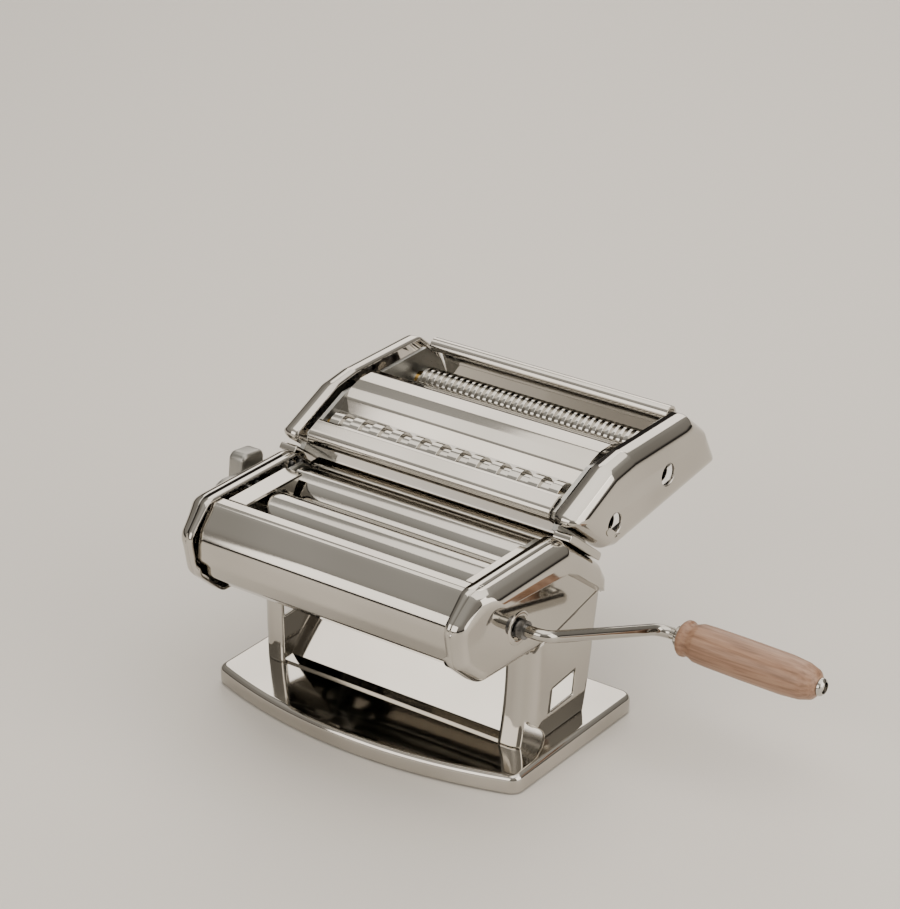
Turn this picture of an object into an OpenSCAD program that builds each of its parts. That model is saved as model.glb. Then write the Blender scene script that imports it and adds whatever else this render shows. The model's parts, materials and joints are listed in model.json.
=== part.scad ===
// Hand-cranked pasta roller machine with a removable double-cutter unit.
// +X points to the crank side, +Y to the rear, +Z up.
// The origin is the centre of the base, on the surface the machine stands on.

/* [Smooth rollers] */
// Length of the smooth rollers
roller_len = 150; // [140:1:150]
// Diameter of the smooth rollers
roller_d = 30; // [29:0.5:30]
// Widest gap between the smooth rollers, which is the rest position
gap_open = 2.3; // [2.3:0.1:2.5]
// Travel of the rear roller from the widest to the thinnest setting
gap_travel = 2.0; // [1:0.1:2]

/* [Cutters] */
// Outer diameter of a cutter roller
cutter_d = 18.4; // [18:0.1:18.4]
// Diameter at the bottom of a cutter's grooves
cutter_root_d = 15.2; // [15:0.1:15.2]
// Ribbon width that the wide cutter makes
wide_ribbon = 6.5; // [5:0.5:7]
// Ribbon width that the fine cutter makes
fine_ribbon = 2; // [2:0.5:3]

/* [Body] */
// Thickness of the pressed steel sheet
sheet = 1.2; // [1:0.1:1.4]
// Half of the width over the two hoods
hood_x = 97.5; // [97:0.5:98]
// Height of the base plate's top
base_top = 11; // [11:0.5:12]

/* [Crank] */
// Diameter of the crank's rod
crank_d = 6.5; // [6:0.1:6.5]
// Largest diameter of the wooden grip
grip_d = 22; // [18:1:24]

/* [Hidden] */
$fn = 48;

// Places in the side view are [y, z]
front_axis = [-33, 105];
rear_axis = front_axis + [roller_d + gap_open, 0];
crank_axis = [-32.2, 90.2];
knob_axis = [-4, 99];
yoke_bar_axis = [8, 78];
wide_axis = [44, 119.5];
fine_axis = [94.5, 128.2];
slope_dir = [-0.783, 0.622];
slope_normal = [0.622, 0.783];
cutter_gap = 0.3;
cutter_pitch = (cutter_d + cutter_root_d) / 2 + cutter_gap;
wide_axis_2 = wide_axis + cutter_pitch * [-0.718, 0.696];
fine_axis_2 = fine_axis + cutter_pitch * [0.9956, 0.094];

// Places across the machine, from the rollers outwards
roller_end = roller_len / 2;
frame_x = [75.6, 78.1];
transfer_x = [79, 81.6];
yoke_right_x = [79, 81.2];
drive_x = [82, 87];
yoke_left_x = [82.4, 88.2];
slot_floor_x = 85.2;
panel_x = [90, 91.2];
rim_x = 81.5;

journal_d = 10;
bushing_d = 14;
running = 0.1;
eccentric = gap_travel / 2 / cos(15);
eccentric_d = 11;
knob_shaft_d = 8;
spindle_d = 6;
socket_d = 10;

chrome = "#c9c8c4";
satin = "#a9a9a6";
dark_steel = "#6f7073";
brass = "#b5924c";
beech = "#c08a5a";
black = "#222222";

// Outline of the head seen from the side
head_outline = [
  [-67, 124], [-83, 108.5], [-79, 86], [-61.5, 70], [-14, 68],
  [43, 80], [43, 90], [38, 98.5], [6, 124]
];
// Part of the head where the hood stands out over the leg panel
hood_band = [[-90, 113.5], [-51, 111], [3, 107], [11, 103], [46, 76], [60, 130], [-90, 130]];
nose_band = [[-90, 60], [-57, 60], [-57, 130], [-90, 130]];
leg_outline = [[-8, base_top], [34.5, base_top], [37, 50], [43, 80], [43, 86], [-14, 86], [-14, 68]];
frame_outline = [
  [-56, 120.9], [-70, 106], [-68, 86], [-54, 75], [20, 72], [34, 82], [33, 97], [4, 120.9]
];
cutter_outline = [
  [9, 129.6], [8.5, 134], [44, 149.5], [62, 152], [120, 152],
  [137, 138], [147, 119], [141, 113.5], [49, 102.6], [40, 104.9]
];
cutter_frame_outline = [
  [13.5, 129.8], [14, 133.5], [45, 146.5], [118, 147.5],
  [132, 136], [140, 120], [50, 107], [41.5, 108]
];

// ---- helpers -------------------------------------------------------------

// Extrude a side-view shape from x0 to x1
module slab(x0, x1)
  translate([x0, 0, 0]) rotate([90, 0, 90]) linear_extrude(x1 - x0) children();

// A round bar along X, centred on a side-view place
module rod(x0, x1, d, at)
  translate([x0, at[0], at[1]]) rotate([0, 90, 0]) cylinder(h = x1 - x0, d = d);

module left_side() mirror([1, 0, 0]) children();

// Points of the arc that rounds corner b of the path a, b, c
function corner(a, b, c, r, n) =
  let (
    u = (a - b) / norm(a - b), v = (c - b) / norm(c - b),
    half = acos(u * v) / 2,
    o = b + (u + v) / norm(u + v) * r / sin(half),
    p = b + u * r / tan(half) - o, q = b + v * r / tan(half) - o,
    start = atan2(p[1], p[0]),
    turn = (atan2(q[1], q[0]) - start + 540) % 360 - 180
  )
  [for (i = [0:n]) o + r * [cos(start + turn * i / n), sin(start + turn * i / n)]];

function rounded(p, r, n = 4) =
  let (m = len(p))
  [for (i = [0:m - 1]) each corner(p[(i + m - 1) % m], p[i], p[(i + 1) % m], r, n)];

// A thin sheet that follows a path in the side view, on the left of the path
function sheet_points(path, t) =
  let (
    m = len(path),
    dirs = [for (i = [0:m - 2]) (path[i + 1] - path[i]) / norm(path[i + 1] - path[i])],
    normals = [for (d = dirs) [-d[1], d[0]]],
    back = [for (i = [m - 1:-1:0])
      let (a = normals[max(i - 1, 0)], b = normals[min(i, m - 2)])
      path[i] + (a + b) * t / (1 + a * b)]
  )
  concat(path, back);

function arc(at, r, from, to, n) =
  [for (i = [0:n]) at + r * [cos(from + (to - from) * i / n), sin(from + (to - from) * i / n)]];

function turned(v, a) = [v[0] * cos(a) - v[1] * sin(a), v[0] * sin(a) + v[1] * cos(a)];

// A spur gear as a side-view shape, with one tooth centred on angle `first`
module gear_2d(teeth, pitch_r, tip, root, first) {
  tooth_w = 3.1416 * pitch_r / teeth;
  circle(r = pitch_r - root);
  for (i = [0:teeth - 1])
    rotate(first + i * 360 / teeth)
      polygon([
        [pitch_r - root - 0.8, -0.58 * tooth_w], [pitch_r, -0.33 * tooth_w],
        [pitch_r + tip, -0.14 * tooth_w], [pitch_r + tip, 0.14 * tooth_w],
        [pitch_r, 0.33 * tooth_w], [pitch_r - root - 0.8, 0.58 * tooth_w]
      ]);
}

// ---- base ----------------------------------------------------------------

// Plan of the base: straight sides, round corners and a front that bows out
module base_plan(inset) {
  half_w = 100;
  rear_y = 65;
  corner_r = 7;
  bow_r = 291;
  bow_y = 229;
  x = half_w - corner_r;
  front_y = bow_y - sqrt(pow(bow_r - corner_r, 2) - pow(x, 2));
  edge = asin(x / (bow_r - corner_r));
  step = (90 - edge) / 6;
  r = corner_r - inset;
  polygon(concat(
    arc([0, bow_y], bow_r - inset, 270 - edge, 270 + edge, 32),
    arc([x, front_y], r, 270 + edge + step, 360, 5),
    arc([x, rear_y - corner_r], r, 0, 90, 6),
    arc([-x, rear_y - corner_r], r, 90, 180, 6),
    arc([-x, front_y], r, 180, 270 - edge - step, 5)
  ));
}

module base_plate() {
  lip = 1.5;
  color(chrome) difference() {
    union() {
      translate([0, 0, 1]) linear_extrude(base_top - 1 - lip) base_plan(0);
      translate([0, 0, 1]) linear_extrude(base_top - 1) base_plan(lip);
    }
    translate([0, 0, 0]) linear_extrude(base_top - sheet) base_plan(lip + sheet);
  }
}

module rubber_feet() {
  color(black) for (x = [-78, 78], y = [-34, 46])
    translate([x, y, 0]) {
      cylinder(h = 6, d1 = 14, d2 = 16);
      translate([0, 0, 6]) cylinder(h = base_top - sheet - 6, d = 8);
    }
}

// ---- housings ------------------------------------------------------------

// Front flange of a leg in plan: a quarter bend from the panel to the front
module leg_bend_plan() {
  r = 11;
  difference() {
    translate([panel_x[1] - r, -8]) circle(r = r);
    translate([panel_x[1] - r, -8]) circle(r = r - sheet);
    translate([panel_x[1] - 2 * r - 1, -8 - r - 1]) square([r + 1, 2 * r + 2]);
    translate([panel_x[1] - r - 1, -8]) square([r + 2, r + 2]);
  }
  translate([74.5, -8 - r]) square([panel_x[1] - r - 74.5, sheet]);
}

module housing() {
  clamp_slot = [[0, 24], [21.5, 24], [21.5, 36.5], [0, 36.5]];
  relief_h = 18;
  difference() {
    union() {
      slab(rim_x, panel_x[1]) polygon(rounded(head_outline, 6));
      slab(rim_x, hood_x - 2.5) intersection() {
        polygon(rounded(head_outline, 6));
        polygon(hood_band);
      }
      slab(rim_x, hood_x) intersection() {
        offset(delta = -2) polygon(rounded(head_outline, 6));
        polygon(hood_band);
      }
      slab(rim_x, hood_x - 3) intersection() {
        offset(delta = -2) polygon(rounded(head_outline, 6));
        polygon(nose_band);
      }
      slab(panel_x[0], panel_x[1]) polygon(leg_outline);
      translate([0, 0, base_top]) linear_extrude(68.5 - base_top) leg_bend_plan();
    }
    slab(rim_x - 1, panel_x[0]) offset(delta = -sheet) polygon(rounded(head_outline, 6));
    slab(panel_x[0] - 1, hood_x - sheet) offset(delta = -sheet) intersection() {
      offset(delta = -2) polygon(rounded(head_outline, 6));
      polygon(hood_band);
    }
    slab(panel_x[0] - 1, hood_x - 3 - sheet) offset(delta = -sheet) intersection() {
      offset(delta = -2) polygon(rounded(head_outline, 6));
      polygon(nose_band);
    }
    slab(panel_x[0] - 1, panel_x[1] + 1) polygon(clamp_slot);
    translate([82.5, -30, base_top - 1]) cube([6.5, 30, relief_h + 1]);
  }
}

module housing_right() color(chrome) difference() {
  housing();
  rod(panel_x[0] - 2, hood_x + 1, 12.5, crank_axis);
}

module housing_left() color(chrome) left_side() difference() {
  housing();
  rod(panel_x[0] - 2, hood_x + 1, 12, knob_axis);
}

// ---- frame ---------------------------------------------------------------

tie_places = [[-62, 92], [-58, 112], [26, 90]];
standoff_places = [[16.5, 86], [-64, 99], [22, 81.2]];

module frame_plate(pinion_bore) {
  yoke_slot = 7;
  color(satin) slab(frame_x[0], frame_x[1]) difference() {
    polygon(frame_outline);
    translate(front_axis) circle(d = bushing_d);
    // The rear journal and the yoke bar slide in these slots
    for (x = [0, -gap_travel]) {
      translate(rear_axis + [x, 0]) circle(d = journal_d + 1.6);
      translate(yoke_bar_axis + [x, 0]) circle(d = yoke_slot);
    }
    translate(rear_axis - [gap_travel, (journal_d + 1.6) / 2]) square([gap_travel, journal_d + 1.6]);
    translate(yoke_bar_axis - [gap_travel, yoke_slot / 2]) square([gap_travel, yoke_slot]);
    if (pinion_bore) translate(crank_axis) circle(d = 9);
    for (p = tie_places) translate(p) circle(d = 4);
  }
}

module frame_right() frame_plate(true);
module frame_left() left_side() frame_plate(false);

module tie_rods() {
  color(satin) for (p = tie_places) rod(-frame_x[0], frame_x[0], 8, p);
}

module frame_screws() {
  color(dark_steel) for (p = tie_places, side = [0, 1]) mirror([side, 0, 0]) {
    rod(frame_x[0], frame_x[1], 4, p);
    rod(frame_x[1], frame_x[1] + 2.4, 7.5, p);
  }
}

module housing_standoffs() {
  color(satin) for (p = standoff_places, side = [0, 1]) mirror([side, 0, 0])
    rod(frame_x[1], panel_x[0], 6, p);
}

module front_apron() {
  path = [
    [-57.5, 122.6], each arc([-63, 105], 16, 100, 168, 8), [-77, 97], [-73, 85], [-63, 75.5], [-55, 73]
  ];
  color(chrome) slab(-83, 83) polygon(sheet_points(path, sheet));
}

module rear_slide() {
  path = [[-20, base_top], [-12, base_top], [16, 60], [29, 74.5], [32.5, 90]];
  color(chrome) slab(-73, 73) polygon(sheet_points(path, sheet));
}

// Folded cover behind the rear roller; its top also lies over the frame plates' edges
module rear_cover() {
  top = [[21.5, 117.2], [12.8, 117.2], [12.6, 114]];
  color(chrome) {
    slab(-frame_x[0], frame_x[0]) polygon(sheet_points(concat([[32.6, 91.5], [33, 96.8]], top), sheet));
    slab(-frame_x[1] - 0.4, frame_x[1] + 0.4)
      polygon(sheet_points(concat([[29.96, 102.2]], [top[0], top[1]]), sheet));
  }
}

// The left guide is a flat plate over the rollers' ends, with a lip that dips into the nip
module feed_guide_left() {
  lip = [
    [-34, 122.4], [-34, 121.2], [-28, 120.4], [-23, 118.2], [-18.8, 113], [-17.2, 113],
    [-14.6, 117.4], [-11.6, 120.2], [-9, 121.2], [-9, 122.4]
  ];
  color(chrome) left_side() {
    slab(66, 78) feed_plate_side();
    slab(66, 67.2) polygon(lip);
  }
}

// The right guide only covers the frame plate's edge
module feed_guide_right() color(chrome) slab(75.4, 80) feed_plate_side();

module feed_plate_side() polygon([[-56, 120.9], [-9, 120.9], [-9, 122.4], [-56, 122.4]]);

module front_scraper() {
  color(chrome) slab(-frame_x[0], frame_x[0])
    polygon([[-47, 76], [-45.4, 76], [-36.8, 89.2], [-37.4, 89.8], [-38.6, 89.4]]);
}

// Round bars on the sloping rear of the head, which carry the cutter unit
module mounting_rails() {
  rail_len = 32;
  foot = [8, 122.4] + 2.3 * slope_normal;
  slope = atan2(-slope_dir[1], -slope_dir[0]);
  color(chrome) for (side = [0, 1]) mirror([side, 0, 0])
    slab(84.3, 95) translate(foot) rotate(slope) {
      circle(d = 4);
      translate([0, -2.3]) square([rail_len, 4.3]);
      translate([rail_len, 0]) circle(d = 4);
    }
}

// ---- smooth rollers --------------------------------------------------------

module smooth_roller(at, left_x, right_x) {
  rod(-roller_end, roller_end, roller_d, at);
  rod(-left_x, right_x, journal_d, at);
}

module front_roller() color(chrome) smooth_roller(front_axis, transfer_x[1], drive_x[1]);
module rear_roller() color(chrome) smooth_roller(rear_axis, slot_floor_x - 1.1, yoke_right_x[1]);

module bushing(x0, x1, at) difference() {
  rod(x0, x1, bushing_d, at);
  rod(x0 - 1, x1 + 1, journal_d + running, at);
}

module front_roller_bushings() color(brass) {
  bushing(frame_x[0], frame_x[1], front_axis);
  left_side() bushing(frame_x[0], frame_x[1], front_axis);
}

module rear_roller_bushings() color(brass) {
  bushing(yoke_right_x[0], yoke_right_x[1], rear_axis);
  left_side() bushing(yoke_left_x[0], slot_floor_x - 0.8, rear_axis);
}

// The two transfer gears have long teeth, because the gap between the rollers changes
module transfer_gear(at, first) {
  teeth = 14;
  left_side() slab(transfer_x[0], transfer_x[1]) difference() {
    translate(at) gear_2d(teeth, (roller_d + gap_open) / 2, 1.2, 3.4, first);
    translate(at) circle(d = journal_d);
  }
}

module front_transfer_gear() color(dark_steel) transfer_gear(front_axis, 0);
module rear_transfer_gear() color(dark_steel) transfer_gear(rear_axis, 180 + 180 / 14);

drive_teeth = 16;
pinion_teeth = 8;
drive_centres = norm(front_axis - crank_axis);
drive_angle = atan2(front_axis[1] - crank_axis[1], front_axis[0] - crank_axis[0]);

module drive_gear() {
  color(dark_steel) slab(drive_x[0], drive_x[1]) difference() {
    translate(front_axis)
      gear_2d(drive_teeth, drive_centres * 2 / 3, 1.3, 1.7, drive_angle + 180);
    translate(front_axis) circle(d = journal_d);
  }
}

module drive_pinion() {
  color(dark_steel) difference() {
    union() {
      slab(drive_x[0], drive_x[1]) translate(crank_axis)
        gear_2d(pinion_teeth, drive_centres / 3, 1.3, 1.7, drive_angle + 180 / pinion_teeth);
      rod(frame_x[0], drive_x[0], spindle_d, crank_axis);
      rod(drive_x[1], 96, socket_d, crank_axis);
    }
    rod(drive_x[1], 97, crank_d, crank_axis);
  }
}

module pinion_bushing() color(brass) difference() {
  rod(frame_x[0], frame_x[1], 9, crank_axis);
  rod(frame_x[0] - 1, frame_x[1] + 1, spindle_d + running, crank_axis);
}

// ---- gap yoke --------------------------------------------------------------

module yoke_profile() {
  hull() {
    translate(rear_axis) circle(d = 20, $fn = 32);
    translate(yoke_bar_axis) circle(d = 7.4, $fn = 32);
  }
}

module yoke_right() color(satin) difference() {
  slab(yoke_right_x[0], yoke_right_x[1]) yoke_profile();
  rod(yoke_right_x[0] - 1, yoke_right_x[1] + 1, bushing_d, rear_axis);
  rod(yoke_right_x[0] - 1, yoke_right_x[1] + 1, 5, yoke_bar_axis);
}

// The left arm is thicker: the eccentric turns in the slot on its outer side
module yoke_left() {
  slot_w = eccentric_d + 0.9;
  slot_h = eccentric_d + 2 * eccentric + 0.9;
  color(satin) left_side() difference() {
    slab(yoke_left_x[0], yoke_left_x[1]) union() {
      yoke_profile();
      translate(knob_axis - [10, 10.5]) square([20, 21]);
    }
    rod(yoke_left_x[0] - 1, slot_floor_x - 0.8, bushing_d, rear_axis);
    rod(yoke_left_x[0] - 1, yoke_left_x[1] + 1, 5, yoke_bar_axis);
    slab(slot_floor_x, yoke_left_x[1] + 1)
      translate(knob_axis + [eccentric * cos(15) - slot_w / 2, -slot_h / 2]) square([slot_w, slot_h]);
  }
}

module yoke_bar() color(satin) rod(-yoke_left_x[1], yoke_right_x[1], 5, yoke_bar_axis);

module rear_scraper() {
  dx = rear_axis[0];
  color(chrome) slab(-roller_end + 0.4, roller_end - 0.4) difference() {
    polygon([
      [dx + 5.2, 74.5], [dx + 12.4, 74.5], [dx + 12.4, 81.4], [dx + 9, 81.4],
      [dx + 5.2, 89.4], [dx + 4, 89.8], [dx + 3.6, 89.2], [dx + 5.2, 82]
    ]);
    translate(yoke_bar_axis) circle(d = 5);
  }
}

// ---- crank -----------------------------------------------------------------

crank_start = [drive_x[1] + 0.5, crank_axis[0], crank_axis[1]];
crank_elbow = [108, crank_axis[0], crank_axis[1]];
crank_heel = [121, 54.2, 61];
grip_dir = [1, 0, -0.02] / norm([1, 0, -0.02]);
grip_from = 11;
grip_len = 86;

// A straight round bar between two points in space
module bar(a, b, d) {
  v = b - a;
  translate(a) rotate([0, acos(v[2] / norm(v)), atan2(v[1], v[0])]) cylinder(h = norm(v), d = d);
}

module crank_rod() {
  tip = crank_heel + grip_dir * (grip_from + grip_len + 2);
  color(chrome) {
    bar(crank_start, crank_elbow, crank_d);
    translate(crank_elbow) sphere(d = crank_d);
    bar(crank_elbow, crank_heel, crank_d);
    translate(crank_heel) sphere(d = crank_d);
    bar(crank_heel, tip, crank_d);
  }
}

// Turn a profile of [radius, distance along the grip] about the grip's axis
module on_grip() {
  start = crank_heel + grip_dir * grip_from;
  translate(start) rotate([0, acos(grip_dir[2]), 0]) rotate_extrude() children();
}

module crank_grip() {
  bore_r = crank_d / 2 + 0.06;
  r = grip_d / 2;
  color(beech) on_grip() polygon([
    [bore_r, 3], [8.6, 3], [9.9, 4.6], [9.9, 6.4], [9, 8], [9, 9.5], [10.4, 13],
    [r - 0.2, 18], [r, 40], [r, 66], [10, 76], [8.2, 82], [5, grip_len - 1], [bore_r, grip_len - 1]
  ]);
}

module grip_ferrule() {
  color(chrome) on_grip() polygon([[crank_d / 2, 0], [6, 0], [6, 2.7], [crank_d / 2, 2.7]]);
}

module grip_rivet() {
  color(chrome) on_grip() polygon([
    [crank_d / 2, grip_len - 0.7], [5, grip_len - 0.7], [4.4, grip_len + 1.4], [crank_d / 2, grip_len + 2]
  ]);
}

// ---- gap regulator -----------------------------------------------------------

knob_x = [101, 106.5];
knob_tilt = 173;
wing_reach = 23.2;
pin_reach = 22.5;
index_x = [panel_x[1], panel_x[1] + 1.6];
settings = 7;
step_angle = 25;

module index_plate() {
  half_w = 4.5;
  outer = [for (a = [-12:6:162]) turned([pin_reach + half_w, 0], knob_tilt + a)];
  inner = [for (a = [162:-6:-12]) turned([pin_reach - half_w, 0], knob_tilt + a)];
  color(satin) left_side() slab(index_x[0], index_x[1]) translate(knob_axis) difference() {
    polygon(concat(outer, inner));
    for (i = [0:settings - 1])
      translate(turned([pin_reach, 0], knob_tilt + i * step_angle)) circle(d = 3.8, $fn = 24);
  }
}

module regulator_bush() color(brass) left_side() difference() {
  union() {
    rod(88.8, panel_x[1] + 0.8, 12, knob_axis);
    rod(88.8, panel_x[0], 15, knob_axis);
  }
  rod(88, 93, knob_shaft_d + running, knob_axis);
}

module regulator_shaft() {
  color(dark_steel) left_side() {
    rod(slot_floor_x + 0.3, yoke_left_x[1] - 0.2, eccentric_d, knob_axis + eccentric * [cos(15), sin(15)]);
    rod(yoke_left_x[1] - 0.2, 104.8, knob_shaft_d, knob_axis);
    rod(104.8, 113.2, 4.5, knob_axis);
  }
}

module regulator_knob() {
  color(satin) left_side() difference() {
    union() {
      slab(knob_x[0], knob_x[1]) translate(knob_axis) rotate(knob_tilt - 180) {
        for (x = [-wing_reach, wing_reach]) translate([x, 0]) circle(r = 13.3);
        translate([-wing_reach, -13.3]) square([2 * wing_reach, 26.6]);
      }
      slab(knob_x[1] - 2, 116.5) translate(knob_axis) rotate(knob_tilt - 180)
        polygon(rounded([[-9.2, -22], [9.2, -22], [9.2, 22], [-9.2, 22]], 5));
      rod(94, knob_x[0], 15, knob_axis);
    }
    rod(93, 105.2, knob_shaft_d + running, knob_axis);
    rod(105.2, 117, 12, knob_axis);
    slab(knob_x[0] - 1, knob_x[1] + 1)
      translate(knob_axis + turned([pin_reach, 0], knob_tilt)) circle(d = 3, $fn = 24);
  }
}

module detent_pin() {
  at = knob_axis + turned([pin_reach, 0], knob_tilt);
  color(dark_steel) left_side() rod(index_x[1] + 0.3, knob_x[1] + 0.4, 3, at);
}

module shaft_cap() color(dark_steel) left_side() rod(113.2, 115.4, 9.5, knob_axis);

// Compression spring between the bottom of the knob's pocket and the shaft's cap
module knob_spring() {
  turns = 4;
  wire_r = 0.45;
  coil_r = 4;
  x0 = 105.2 + wire_r;
  x1 = 113.2 - wire_r;
  sides = 6;
  rings = turns * 12;
  points = [
    for (i = [0:rings]) let (a = i * 30, x = x0 + (x1 - x0) * i / rings)
      for (k = [0:sides - 1]) let (b = k * 360 / sides, r = coil_r + wire_r * cos(b))
        [-x - wire_r * sin(b), knob_axis[0] + r * cos(a), knob_axis[1] + r * sin(a)]
  ];
  faces = concat(
    [[for (k = [0:sides - 1]) k]],
    [for (i = [0:rings - 1], k = [0:sides - 1])
      [i * sides + (k + 1) % sides, i * sides + k, (i + 1) * sides + k, (i + 1) * sides + (k + 1) % sides]],
    [[for (k = [sides - 1:-1:0]) rings * sides + k]]
  );
  color(dark_steel) polyhedron(points, faces);
}

// ---- cutter unit -------------------------------------------------------------

cover_x = [84, 98];
cutter_frame_x = [78.6, 81];
cutter_gear_x = [84.6, 88.6];

module cutter_cover() difference() {
  union() {
    slab(cover_x[0], 91) polygon(rounded(cutter_outline, 3.5));
    slab(cover_x[0], 95.5) offset(delta = -1) polygon(rounded(cutter_outline, 3.5));
    slab(cover_x[0], cover_x[1]) offset(delta = -3.4) polygon(rounded(cutter_outline, 3.5));
  }
  slab(cover_x[0] - 1, 91 - sheet) offset(delta = -sheet) polygon(rounded(cutter_outline, 3.5));
  slab(90 - sheet, cover_x[1] - sheet) offset(delta = -4.2) polygon(rounded(cutter_outline, 3.5));
}

module cutter_cover_left() color(chrome) left_side() cutter_cover();

module cutter_cover_right() color(chrome) difference() {
  cutter_cover();
  for (at = [wide_axis, fine_axis]) rod(90, 99, 12, at);
}

cutter_axes = [wide_axis, wide_axis_2, fine_axis, fine_axis_2];
cutter_tie_places = [[66, 116], [66, 142], [128, 127]];
cutter_bushing_d = 11;
cutter_journal_d = 8;

module cutter_frame() difference() {
  slab(cutter_frame_x[0], cutter_frame_x[1]) polygon(cutter_frame_outline);
  for (at = cutter_axes) rod(70, 90, cutter_bushing_d, at);
  for (at = cutter_tie_places) rod(70, 90, 4, at);
}

module cutter_frame_right() color(satin) cutter_frame();
module cutter_frame_left() color(satin) left_side() cutter_frame();

module cutter_bushings() {
  color(brass) for (at = cutter_axes, side = [0, 1]) mirror([side, 0, 0]) difference() {
    rod(cutter_frame_x[0], cutter_frame_x[1], cutter_bushing_d, at);
    rod(70, 90, cutter_journal_d + running, at);
  }
}

module cutter_tie_rods() {
  color(satin) for (at = cutter_tie_places) rod(-cutter_frame_x[0], cutter_frame_x[0], 7, at);
}

module cutter_screws() {
  color(dark_steel) for (at = cutter_tie_places, side = [0, 1]) mirror([side, 0, 0]) {
    rod(cutter_frame_x[0], cutter_frame_x[1], 4, at);
    rod(cutter_frame_x[1], cutter_frame_x[1] + 2.4, 7, at);
  }
}

module cutter_front_sheet() {
  path = [[38, 107.4], [12.6, 128.2], each arc([16.4, 131.8], 5, 200, 130, 4), [20.2, 139.2], [22.6, 139]];
  color(chrome) slab(-cutter_frame_x[0], cutter_frame_x[0]) polygon(sheet_points(path, -sheet));
}

module cutter_centre_guide() {
  path = [
    [40.4, 137.6], [44, 144.2], [50, 148], [58, 150.4], [68, 150.4], [77, 148], [81.5, 143.4], [82.6, 138.6]
  ];
  color(chrome) slab(-cutter_frame_x[0], cutter_frame_x[0]) polygon(sheet_points(path, -sheet));
}

module cutter_rear_rail() {
  path = [[127, 142], each arc([126, 146], 5, 190, 20, 6), [136, 134.5], [140, 122]];
  color(chrome) slab(-cutter_frame_x[0], cutter_frame_x[0]) polygon(sheet_points(path, -sheet));
}

// Strips that hook under the rails; the unit slides off along them
module rail_hooks() {
  slope = atan2(-slope_dir[1], -slope_dir[0]);
  foot = [11, 126.5] + 0.2 * slope_normal;
  color(satin) for (side = [0, 1]) mirror([side, 0, 0]) {
    slab(81, 84) translate(foot) rotate(slope) translate([1, -1.6]) square([32, 4]);
  }
}

// Profile of a grooved cutter roller as [radius, x]: ribs at every second ribbon
function cutter_profile(ribbon, first, last, half) =
  let (r0 = cutter_root_d / 2, r1 = cutter_d / 2, rib = ribbon / 2 - 0.12, n = floor((last - first) / ribbon / 2))
  concat(
    [[0, -half], [r0, -half]],
    [for (i = [0:n]) let (x = first + 2 * ribbon * i)
      each [[r0, x - rib], [r1, x - rib], [r1, x + rib], [r0, x + rib]]],
    [[r0, half], [0, half]]
  );

module cutter_roller(at, ribbon, first, last, left_x, right_x) {
  translate([0, at[0], at[1]]) rotate([0, 90, 0])
    rotate_extrude($fn = 48) polygon(cutter_profile(ribbon, first, last, roller_end - 1));
  rod(-left_x, right_x, cutter_journal_d, at);
}

// The driven shaft ends in a round socket for the crank, behind the cover's hole
module driven_shaft(at) difference() {
  children();
  rod(86, 100, crank_d + 0.2, at);
}

module wide_cutter_driven() color(chrome) driven_shaft(wide_axis) union() {
  cutter_roller(wide_axis, wide_ribbon, -65, 65, cutter_gear_x[1], 94);
  rod(84, 94, 10, wide_axis);
}
module wide_cutter_follower() color(chrome)
  cutter_roller(wide_axis_2, wide_ribbon, -65 - wide_ribbon, 65 + wide_ribbon, cutter_gear_x[1], cutter_frame_x[1]);
module fine_cutter_driven() color(chrome) driven_shaft(fine_axis) union() {
  cutter_roller(fine_axis, fine_ribbon, -70, 70, cutter_gear_x[1], 94);
  rod(84, 94, 10, fine_axis);
}
module fine_cutter_follower() color(chrome)
  cutter_roller(fine_axis_2, fine_ribbon, -70 - fine_ribbon, 70 + fine_ribbon, cutter_gear_x[1], cutter_frame_x[1]);

cutter_teeth = 12;

module cutter_gear(at, first) {
  left_side() slab(cutter_gear_x[0], cutter_gear_x[1]) difference() {
    translate(at) gear_2d(cutter_teeth, cutter_pitch / 2, 1.2, 1.7, first);
    translate(at) circle(d = cutter_journal_d);
  }
}

wide_mesh = atan2(wide_axis_2[1] - wide_axis[1], wide_axis_2[0] - wide_axis[0]);
fine_mesh = atan2(fine_axis_2[1] - fine_axis[1], fine_axis_2[0] - fine_axis[0]);

module wide_gears_driven() color(dark_steel) cutter_gear(wide_axis, wide_mesh);
module wide_gears_follower() color(dark_steel) cutter_gear(wide_axis_2, wide_mesh + 180 + 180 / cutter_teeth);
module fine_gears_driven() color(dark_steel) cutter_gear(fine_axis, fine_mesh);
module fine_gears_follower() color(dark_steel) cutter_gear(fine_axis_2, fine_mesh + 180 + 180 / cutter_teeth);

// Fingers that lift the ribbons out of the grooves, on a strip below a roller.
// away is +1 where the strip lies to the rear of the roller, and -1 to the front
module comb(at, away, ribbon, first, last) {
  strip = [3, 2.4];
  tip = at - [0, cutter_root_d / 2 + 0.5];
  for (i = [0:floor((last - first) / ribbon / 2)]) {
    x = first + 2 * ribbon * i;
    slab(x - ribbon / 2 + 0.4, x + ribbon / 2 - 0.4)
      polygon([tip, tip + [away * 4, -3.4], tip + [away * 4, -4.4], tip + [0, -1]]);
  }
  slab(-cutter_frame_x[0], cutter_frame_x[0])
    translate(tip + [away > 0 ? 3.4 : -3.4 - strip[0], -5.6]) square(strip);
}

module cutter_combs() {
  color(satin) {
    comb(wide_axis, 1, wide_ribbon, -65 + wide_ribbon, 65 - wide_ribbon);
    comb(fine_axis, -1, fine_ribbon, -70 + fine_ribbon, 70 - fine_ribbon);
    comb(fine_axis_2, 1, fine_ribbon, -70, 70);
  }
}

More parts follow.
